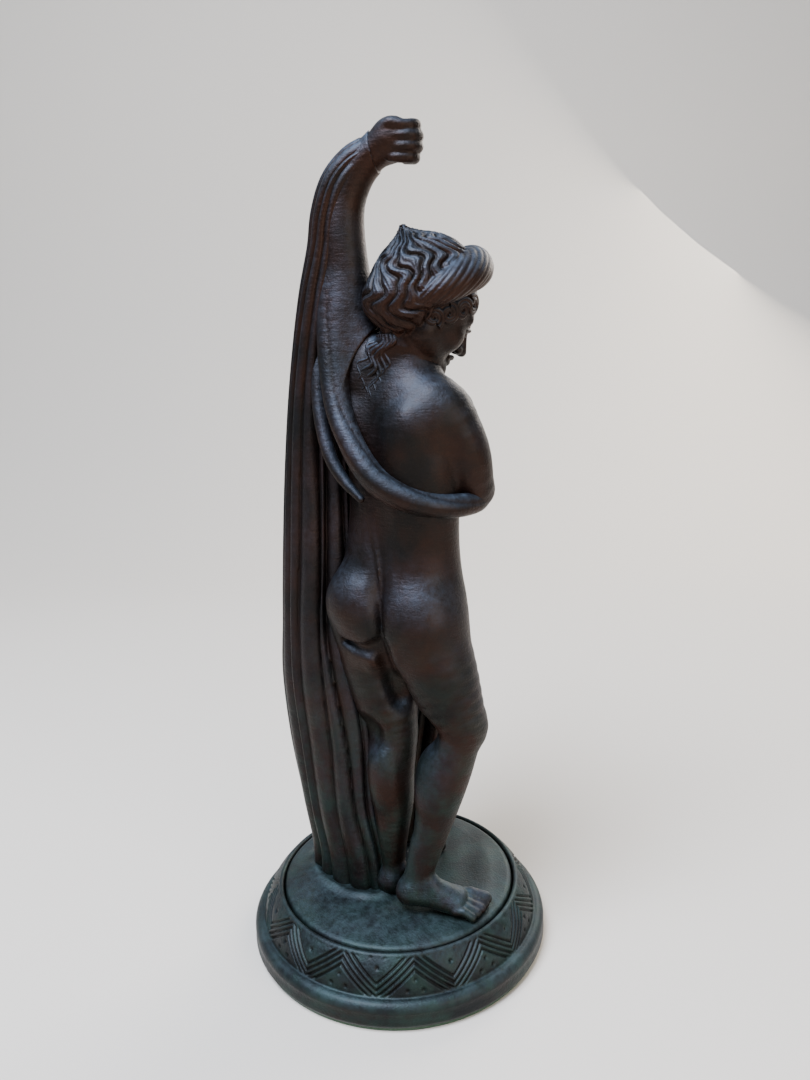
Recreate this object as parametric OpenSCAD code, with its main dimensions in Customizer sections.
// Bronze statuette of a draped classical figure on a round moulded plinth.
// The figure faces -Y, its left is +X, and the origin is the centre of the plinth's foot.

/* [Plinth] */
// Radius of the plinth at its foot
plinth_r = 30; // [29:0.5:32]
// Height of the plinth's top edge
plinth_h = 12; // [11.5:0.25:13]
// Height of the rounded foot moulding
foot_moulding_h = 5.6; // [4.5:0.1:6]
// Thickness of the plate under the ground disc
top_plate_t = 3; // [2.5:0.25:3.5]
// Radius of the hollow under the plinth at its mouth
hollow_r = 25.5; // [24:0.5:26]
/* [Ground disc] */
// Radius of the disc that the feet stand on
ground_r = 23.4; // [22.5:0.1:23.4]
// Gap round the disc, seen as a dark line
ground_gap = 0.25; // [0.1:0.05:0.4]
// Thickness of the disc
ground_t = 2.4; // [2:0.1:3]
/* [Fixings] */
// Diameter of the two screwed studs
stud_d = 3; // [2.5:0.5:3]
// Diameter of the clearance holes for the studs
stud_hole_d = 3.4; // [3.2:0.1:3.6]
// Length of each stud above the ground disc
stud_grip = 7; // [5:0.5:8]
// Nut width across its flats
nut_flats = 5.5; // [5:0.5:5.5]
// Nut height
nut_h = 2.4; // [2:0.2:2.4]
// Washer diameter
washer_d = 7; // [6:0.5:7]
// Washer thickness
washer_t = 0.5; // [0.4:0.1:0.8]
// Diameter of the plain pins that lock the sleeve joints
pin_d = 1.2; // [1:0.1:1.4]
// Diameter of the spigots of the sleeve joints
spigot_d = 3.2; // [2.8:0.2:3.4]
// Length of the spigots
spigot_l = 3.2; // [3:0.1:4]
/* [Felt] */
// Inner radius of the felt ring under the foot
felt_inner_r = 25.8; // [25.6:0.1:27]
// Thickness of the felt ring
felt_t = 0.6; // [0.4:0.1:1]
/* [Cloth] */
// Number of folds round the hanging fall
fall_folds = 13; // [9:2:15]
// Depth of the folds as a share of the cloth's half width
fold_depth = 0.1; // [0.05:0.01:0.12]

/* [Hidden] */

bronze = "#3b3630";
plinth_bronze = "#3e4446";
screw_brass = "#8f7440";
felt_green = "#2c4a36";

plate_z = plinth_h - ground_t + 0.5;         // floor of the ground disc's seat
ground_z = plate_z + ground_t;               // where the feet and the cloth stand
plate_under_z = plate_z - top_plate_t;       // roof of the hollow
stud_low_z = plate_under_z - washer_t - nut_h - 0.6;

// Where the two studs stand: in the standing heel, and in the foot of the fall.
foot_stud_at = [-3.8, 4.4];
mantle_stud_at = [7.6, 8];

// Torso sections: x, y, z, half width, half depth.
torso_sections = [
    [-4.3, 1.8, 60, 7, 6],
    [-4.2, 1.9, 64, 12.4, 9.2],
    [-4.2, 1.9, 68, 13.6, 9.8],
    [-4.2, 1.6, 72, 13.4, 9.6],
    [-4.4, 1.0, 77, 12.4, 8.8],
    [-4.6, 0.6, 82, 11.6, 8.2],
    [-4.8, 0.4, 87, 11.1, 7.9],
    [-4.8, 0.2, 92, 11.2, 8.1],
    [-4.7, -0.2, 98, 11.6, 8.5],
    [-4.6, -0.6, 104, 11.8, 8.6],
    [-4.6, -0.9, 109, 11.0, 7.6],
    [-4.8, -1.2, 113, 7.4, 5.8],
    [-5.3, -1.9, 116, 4.2, 4.2]
];
pelvis_turn = 12;

// Limbs: x, y, z, half width across, half depth.
left_leg = [
    [2.0, 2.4, 70, 7, 7.6],
    [0.8, 2.4, 62, 6.9, 7],
    [-0.8, 2.3, 54, 5.6, 5.8],
    [-2.3, 2.2, 46, 4.3, 4.6],
    [-3.2, 3.2, 38, 4.2, 4.6],
    [-3.8, 4.2, 28, 3.2, 3.4],
    [-4.0, 4.4, 19, 2.2, 2.6],
    [-3.9, 4.4, 15, 2.3, 2.9],
    [-3.8, 4.4, 12, 2.3, 2.9]
];
right_leg = [
    [-9.6, 1.2, 69, 6.6, 7.4],
    [-11.4, -0.2, 62, 6.4, 6.6],
    [-13.8, -1.4, 54, 5.1, 5.4],
    [-16.0, -2.2, 46.5, 4.3, 4.5],
    [-14.8, 0.6, 39, 4.1, 4.5],
    [-13.3, 3.4, 29, 3.1, 3.5],
    [-12.1, 5.3, 21, 2.3, 2.6],
    [-11.6, 5.8, 17.5, 2.4, 2.7]
];
// Feet: heel, ball and toe, each x, y, z and radius.
left_foot = [[-3.9, 5.2, 14.4, 2.4], [-0.4, -5.4, 14.0, 2.9], [0.9, -10.2, 13.6, 2.0]];
right_foot = [[-10.6, 7.4, 16.9, 2.3], [-17.8, 1.8, 14.4, 2.6], [-21.0, -0.6, 13.8, 2.0]];

// Raised left arm: shoulder, elbow, wrist and fist.
left_arm_path = [
    [-1.0, 0.4, 108, 6.0, 5.6],
    [3.4, 1.9, 117, 4.9, 4.8],
    [5.8, 3.0, 128, 3.3, 3.3],
    [6.8, 3.5, 137, 2.8, 2.8],
    [6.2, 3.2, 143, 2.6, 2.6],
    [3.9, 1.8, 147.4, 2.4, 2.4],
    [1.0, 0.1, 150.2, 2.3, 2.3],
    [-1.8, -1.4, 151.7, 2.6, 2.6]
];
fist = [[-1.8, -1.0, 152.4, 3.0], [-4.2, -2.4, 152.5, 3.2], [-4.8, -2.7, 149.8, 2.4], [-3.2, -1.9, 149.4, 2.3]];
left_joint = [4.4, 2.4, 121];
// Bent right arm: shoulder, elbow, wrist and hand.
right_arm_path = [
    [-8.6, -0.6, 109.4, 5.0, 5.0],
    [-13.2, -2.0, 107.4, 4.9, 4.9],
    [-15.4, -4.4, 100.6, 4.2, 4.2],
    [-15.2, -7.0, 94.0, 3.6, 3.6],
    [-13.9, -9.6, 93.4, 3.1, 3.1],
    [-12.0, -11.8, 98.0, 2.5, 2.5],
    [-10.0, -12.4, 103.4, 2.1, 2.1],
    [-8.4, -12.0, 106.4, 2.4, 2.4]
];
hand = [[-8.6, -12.0, 106.2, 2.5], [-6.6, -11.2, 109.6, 2.2], [-4.4, -10.2, 110.6, 1.7]];
right_joint = [-14.4, -3.8, 103.2];

// Hanging fall of the mantle, from the fist over the arm to the ground.
fall_sections = [
    [0.8, 0.0, 151.6, 2.4, 2.4],
    [3.6, 1.6, 149.6, 3.8, 3.5],
    [5.9, 3.0, 145.5, 4.7, 4.3],
    [7.0, 3.7, 140, 4.8, 4.4],
    [7.6, 4.0, 135, 4.8, 4.3],
    [8.9, 4.9, 127, 5.1, 4.2],
    [10.2, 5.8, 117, 5.3, 4.1],
    [11.0, 6.6, 106, 5.6, 4.0],
    [11.4, 7.2, 92, 6.6, 4.1],
    [11.5, 7.9, 78, 7.4, 4.2],
    [11.6, 8.5, 66, 8.1, 4.2],
    [11.5, 8.9, 55, 8.8, 4.3],
    [10.3, 8.8, 42, 8.9, 4.3],
    [8.3, 8.2, 29, 9.0, 4.3],
    [6.8, 7.4, 19, 9.1, 4.4],
    [6.4, 7.2, 12, 9.4, 4.6]
];
// Loop of cloth behind the back, from the raised shoulder to the right elbow.
swag_sections = [
    [6.4, 6, 125, 2.45, 2.25],
    [5.4, 6.9, 120, 2.75, 2.35],
    [3.8, 8.1, 114.2, 2.65, 2.35],
    [-0.9, 9.9, 103.9, 2.45, 2.25],
    [-7.3, 9, 96, 2.45, 2.25],
    [-14, 4.2, 92.1, 2.35, 2.15],
    [-16.6, -3.2, 91.2, 2.15, 2.05],
    [-16.2, -7.8, 91.4, 2.05, 2.05],
    [-13.2, -11.8, 93.6, 2.05, 2.05]
];
// Cloth in front, held by the right hand and falling between the legs.
front_sections = [
    [-5.4, -11.0, 110.2, 1.8, 1.6],
    [-5.2, -10.6, 104, 5.0, 2.8],
    [-3.2, -9.8, 94, 6.8, 2.9],
    [-1.6, -9.2, 86, 7.4, 3.0],
    [-0.4, -8.9, 76, 7.9, 3.3],
    [0.4, -8.8, 66, 8.4, 3.5],
    [1.6, -8.3, 54, 8.4, 3.6],
    [2.8, -7.2, 42, 8.2, 3.6],
    [4.4, -6.4, 28, 7.8, 3.6],
    [5.8, -6.0, 12, 8.2, 3.8]
];

// Rounded masses that round off the torso: x, y, z and radius.
torso_rounds = [
    [0.6, 6.0, 70.4, 7.1],
    [-9.8, 2.8, 68.8, 7.4],
    [3.4, 2.0, 115.6, 5.4],
    [-11.8, -1.6, 108.0, 5.4],
    [-1.0, 1.0, 108.6, 7.2],
    [-8.8, 0.2, 106.0, 7.2]
];

// Head: place of the skull's middle, and the way it looks.
head_at = [-7.9, -4.1, 126.2];
neck_sections = [[-4.9, -1.2, 110, 5.4, 5.0], [-5.4, -1.6, 115, 4.7, 4.6], [-6.0, -2.2, 119, 4.5, 4.6],
    [-7.0, -3.0, 125, 4.8, 4.8]];
head_turn = -24;
head_nod = 34;
neck_joint = [-5.6, -2.2, 117.2];

// Catmull-Rom point between b and c, for vectors of any length.
function between(a, b, c, d, t) =
    0.5 * (2 * b + (c - a) * t + (2 * a - 5 * b + 4 * c - d) * t * t + (3 * b - a - 3 * c + d) * t * t * t);
function smooth(points, steps) = [
    for (i = [0 : len(points) - 2], k = [0 : steps - 1])
        between(points[max(i - 1, 0)], points[i], points[i + 1], points[min(i + 2, len(points) - 1)], k / steps),
    points[len(points) - 1]
];
function unit(v) = v / norm(v);
function place(s) = [s[0], s[1], s[2]];
function heading(rows, i) = unit(place(rows[min(i + 1, len(rows) - 1)]) - place(rows[max(i - 1, 0)]));
function square_to(v, dir) = unit(v - (v * dir) * dir);

// One closed outline of points about a centre, ruffled by folds.
function outline(c, across, deep, sides, folds, depth) = [
    for (i = [0 : sides - 1]) let (a = 360 * i / sides, k = 1 + depth * cos(folds * a))
        c + k * (cos(a) * across + sin(a) * deep)
];
// Skin through outlines of the same number of points.
module skin(rings) {
    n = len(rings[0]);
    last = len(rings) - 1;
    walls = [for (k = [0 : last - 1], i = [0 : n - 1])
        let (a = k * n + i, b = k * n + (i + 1) % n) each [[a, a + n, b + n], [a, b + n, b]]];
    polyhedron(
        points = [for (r = rings) each r],
        faces = concat([[for (i = [0 : n - 1]) i]], walls, [[for (i = [n - 1 : -1 : 0]) last * n + i]]),
        convexity = 8);
}
// Level sections stacked up, each turned about the vertical.
module level_skin(sections, steps, sides, turn = 0, folds = 0, depth = 0) {
    rows = smooth(sections, steps);
    low_first = rows[0][2] < rows[len(rows) - 1][2] ? rows : [for (i = [len(rows) - 1 : -1 : 0]) rows[i]];
    skin([for (s = low_first) outline(place(s), s[3] * [cos(turn), sin(turn), 0],
        s[4] * [-sin(turn), cos(turn), 0], sides, folds, depth)]);
}
// Sections square to the path, kept level across by the side vector.
module path_skin(sections, steps, sides, side = [1, 0, 0], folds = 0, depth = 0) {
    rows = smooth(sections, steps);
    skin([for (i = [0 : len(rows) - 1])
        let (s = rows[i], dir = heading(rows, i), u = square_to(side, dir), v = cross(dir, u))
        outline(place(s), s[3] * u, s[4] * v, sides, folds, depth)]);
}
// Joins its children into one cast skin.
module one_casting() { resize([0, 0, 0]) union() children(); }
// Keeps what stands above the ground disc.
module above_ground() {
    intersection() {
        children();
        translate([0, 0, ground_z + 100]) cube([80, 80, 200], center = true);
    }
}
module ball(s) { translate(place(s)) sphere(r = s[3], $fn = 20); }
module foot(f) {
    hull() { ball(f[0]); ball(f[1]); }
    hull() { ball(f[1]); ball(f[2]); }
}
// A rod between two points.
module rod(from, to, d, grow = 0) {
    span = to - from;
    translate(from)
        rotate([0, acos(span[2] / norm(span)), atan2(span[1], span[0])])
            translate([0, 0, -grow]) cylinder(d = d, h = norm(span) + 2 * grow, $fn = 24);
}

// Round moulded plinth, hollow below.
module plinth_profile() {
    polygon([
        [hollow_r, felt_t],
        [plinth_r - 0.8, felt_t],
        [plinth_r, felt_t + 1.2],
        [plinth_r, foot_moulding_h - 1.1],
        [plinth_r - 0.5, foot_moulding_h - 0.3],
        [plinth_r - 1.4, foot_moulding_h],
        [plinth_r - 1.6, foot_moulding_h + 0.3],
        [plinth_r - 3.0, plinth_h - 2.6],
        [plinth_r - 4.6, plinth_h - 0.7],
        [ground_r + ground_gap + 0.7, plinth_h],
        [ground_r + ground_gap, plinth_h],
        [ground_r + ground_gap, plate_z],
        [0, plate_z],
        [0, plate_under_z],
        [hollow_r - 3, plate_under_z]
    ]);
}
module stud_holes(d, low, high) {
    for (p = [foot_stud_at, mantle_stud_at])
        translate([p[0], p[1], low]) cylinder(d = d, h = high - low, $fn = 32);
}
module plinth() {
    color(plinth_bronze) difference() {
        rotate_extrude($fn = 96) plinth_profile();
        stud_holes(stud_hole_d, plate_under_z - 1, plate_z + 1);
    }
}
module ground_disc() {
    color(plinth_bronze) difference() {
        rotate_extrude($fn = 96) polygon([
            [0, plate_z], [ground_r, plate_z], [ground_r, ground_z - 0.6],
            [ground_r - 0.5, ground_z - 0.1], [ground_r - 1.2, ground_z], [0, ground_z]]);
        stud_holes(stud_hole_d, plate_z - 1, ground_z + 1);
    }
}

// Arms with their hands.
module left_arm_mass() {
    path_skin(left_arm_path, 3, 16);
    hull() for (s = fist) ball(s);
}
module right_arm_mass() {
    path_skin(right_arm_path, 3, 16);
    hull() { ball(hand[0]); ball(hand[1]); }
    hull() { ball(hand[1]); ball(hand[2]); }
}
// Torso, neck, legs and feet.
module trunk() {
    level_skin(torso_sections, 2, 28, pelvis_turn / 2);
    path_skin(left_leg, 2, 18);
    path_skin(right_leg, 2, 18);
    above_ground() { foot(left_foot); foot(right_foot); }
    for (s = torso_rounds) ball(s);
    difference() { neck(); beyond(neck_joint, neck_joint_dir, 22); }
}
module nude_mass() {
    one_casting() { trunk(); left_arm_mass(); right_arm_mass(); }
}
// The half spaces that part an arm or the head from the body.
module beyond(at, dir, reach) {
    d = unit(dir);
    translate(at) rotate([0, acos(d[2]), atan2(d[1], d[0])])
        translate([-reach, -reach, 0]) cube([2 * reach, 2 * reach, 3 * reach]);
}
left_joint_dir = [0.1, 0.06, 1];
right_joint_dir = [-0.1, -1.6, -0.8];
neck_joint_dir = [-0.15, -0.12, 1];
module left_arm_space() { beyond(left_joint, left_joint_dir, 24); }
module right_arm_space() {
    beyond(right_joint, right_joint_dir, 30);
}
module spigot(at, dir, gap = 0) {
    rod(at - unit(dir) * (spigot_l + gap), at + unit(dir) * 0.4, spigot_d + 2 * gap);
}
module joint_pin_rod(at, dir, way, length) {
    middle = at - unit(dir) * spigot_l / 2;
    rod(middle - unit(way) * length / 2, middle + unit(way) * length / 2, pin_d);
}
module neck_pin_rod() { joint_pin_rod(neck_joint, neck_joint_dir, [1, 0, 0.15], 5.6); }
module right_pin_rod() { joint_pin_rod(right_joint, right_joint_dir, [1, -0.1, -0.1], 6.4); }
module left_pin_rod() { joint_pin_rod(left_joint, left_joint_dir, [1, 0, -0.1], 6.4); }

module body() {
    color(bronze) difference() {
        one_casting() {
            above_ground() trunk();
            difference() { left_arm_mass(); left_arm_space(); }
            difference() { right_arm_mass(); right_arm_space(); }
        }
        spigot(left_joint, left_joint_dir, 0.02);
        spigot(right_joint, right_joint_dir, 0.02);
        spigot(neck_joint, neck_joint_dir, 0.02);
        left_pin_rod();
        right_pin_rod();
        neck_pin_rod();
        translate([foot_stud_at[0], foot_stud_at[1], ground_z - 1]) cylinder(d = stud_d, h = stud_grip + 1, $fn = 32);
    }
}

// Head with its rolled hair, in its own frame: looks along -Y, origin at the skull's middle.
module head_mass() {
    scale([0.93, 1, 0.98]) sphere(r = 9.5, $fn = 28);
    translate([0, -3.6, -4.0]) scale([0.74, 0.78, 1.1]) sphere(r = 6.1, $fn = 24);
    hull() { ball([0, -8.3, -1.4, 0.6]); ball([0, -9.4, -3.8, 0.9]); ball([0, -7.4, -3.2, 1.4]); }
    translate([0, 7.0, -4.4]) scale([1.2, 0.9, 0.9]) sphere(r = 4, $fn = 20);
    rotate([-55, 0, 0]) translate([0, 0, 7.6]) cylinder(r1 = 3, r2 = 0.5, h = 4.8, $fn = 16);
    translate([0, 0.7, 1.9]) rotate([-58, 0, 0]) hair_roll();
}
module hair_roll() {
    scale([0.96, 1, 1]) rotate_extrude($fn = 32) translate([7.8, 0]) circle(r = 2.6, $fn = 12);
}
module neck() { path_skin(neck_sections, 2, 18); }
module head() {
    color(bronze) difference() {
        union() {
            resize([0, 0, 0]) intersection() {
                union() {
                    translate(head_at) rotate([0, 0, head_turn]) rotate([head_nod, 0, 0]) head_mass();
                    neck();
                }
                beyond(neck_joint, neck_joint_dir, 22);
            }
            spigot(neck_joint, neck_joint_dir);
        }
        neck_pin_rod();
    }
}
module right_arm() {
    color(bronze) difference() {
        union() {
            resize([0, 0, 0]) difference() {
                intersection() { union() right_arm_mass(); right_arm_space(); }
                trunk();
            }
            spigot(right_joint, right_joint_dir);
        }
        right_pin_rod();
    }
}
module left_arm() {
    color(bronze) difference() {
        union() {
            resize([0, 0, 0]) intersection() {
                union() left_arm_mass();
                left_arm_space();
            }
            spigot(left_joint, left_joint_dir);
        }
        left_pin_rod();
    }
}

// Cloth castings, fitted against the figure.
module fall_mass() { level_skin(fall_sections, 3, 52, 6, fall_folds, fold_depth); }
module swag_mass() { path_skin(swag_sections, 3, 20, [0, 0, 1], 4, fold_depth); }
module front_mass() { level_skin(front_sections, 3, 44, 0, 11, fold_depth); }
module mantle_pin_rods() {
    rod([4.1, 8.6, 112], [1.6, 3.6, 112], pin_d);
    rod([-8.9, 9.0, 94.4], [-8.4, 3.0, 94.4], pin_d);
    rod([-3.2, -10.9, 92], [-3.6, -3.4, 92], pin_d);
}
module mantle_fall() {
    color(bronze) difference() {
        resize([0, 0, 0]) difference() { above_ground() fall_mass(); nude_mass(); }
        translate([mantle_stud_at[0], mantle_stud_at[1], ground_z - 1]) cylinder(d = stud_d, h = stud_grip + 1, $fn = 32);
    }
}
module mantle_swag() {
    color(bronze) resize([0, 0, 0]) difference() {
        swag_mass();
        nude_mass();
        fall_mass();
        mantle_pin_rods();
    }
}
module mantle_front() {
    color(bronze) resize([0, 0, 0]) difference() {
        above_ground() front_mass();
        nude_mass();
        fall_mass();
        swag_mass();
        mantle_pin_rods();
    }
}

module neck_pin() { color(screw_brass) neck_pin_rod(); }
module right_shoulder_pin() { color(screw_brass) right_pin_rod(); }
module left_shoulder_pin() { color(screw_brass) left_pin_rod(); }
module mantle_pins() { color(screw_brass) mantle_pin_rods(); }

module stud(at) {
    translate([at[0], at[1], stud_low_z]) cylinder(d = stud_d, h = ground_z + stud_grip - stud_low_z, $fn = 32);
}
module foot_stud() { color(screw_brass) stud(foot_stud_at); }
module mantle_stud() { color(screw_brass) stud(mantle_stud_at); }
module stud_washers() {
    color(screw_brass) for (p = [foot_stud_at, mantle_stud_at])
        translate([p[0], p[1], plate_under_z - washer_t]) difference() {
            cylinder(d = washer_d, h = washer_t, $fn = 32);
            translate([0, 0, -1]) cylinder(d = stud_hole_d, h = washer_t + 2, $fn = 32);
        }
}
module stud_nuts() {
    color(screw_brass) for (p = [foot_stud_at, mantle_stud_at])
        translate([p[0], p[1], plate_under_z - washer_t - nut_h]) difference() {
            cylinder(d = nut_flats / cos(30), h = nut_h, $fn = 6);
            translate([0, 0, -1]) cylinder(d = stud_d, h = nut_h + 2, $fn = 32);
        }
}
module felt_ring() {
    color(felt_green) difference() {
        cylinder(r = plinth_r - 0.8, h = felt_t, $fn = 96);
        translate([0, 0, -1]) cylinder(r = felt_inner_r, h = felt_t + 2, $fn = 96);
    }
}

plinth();
ground_disc();
body();
head();
right_arm();
left_arm();
mantle_fall();
mantle_swag();
mantle_front();
neck_pin();
right_shoulder_pin();
left_shoulder_pin();
mantle_pins();
foot_stud();
mantle_stud();
stud_washers();
stud_nuts();
felt_ring();
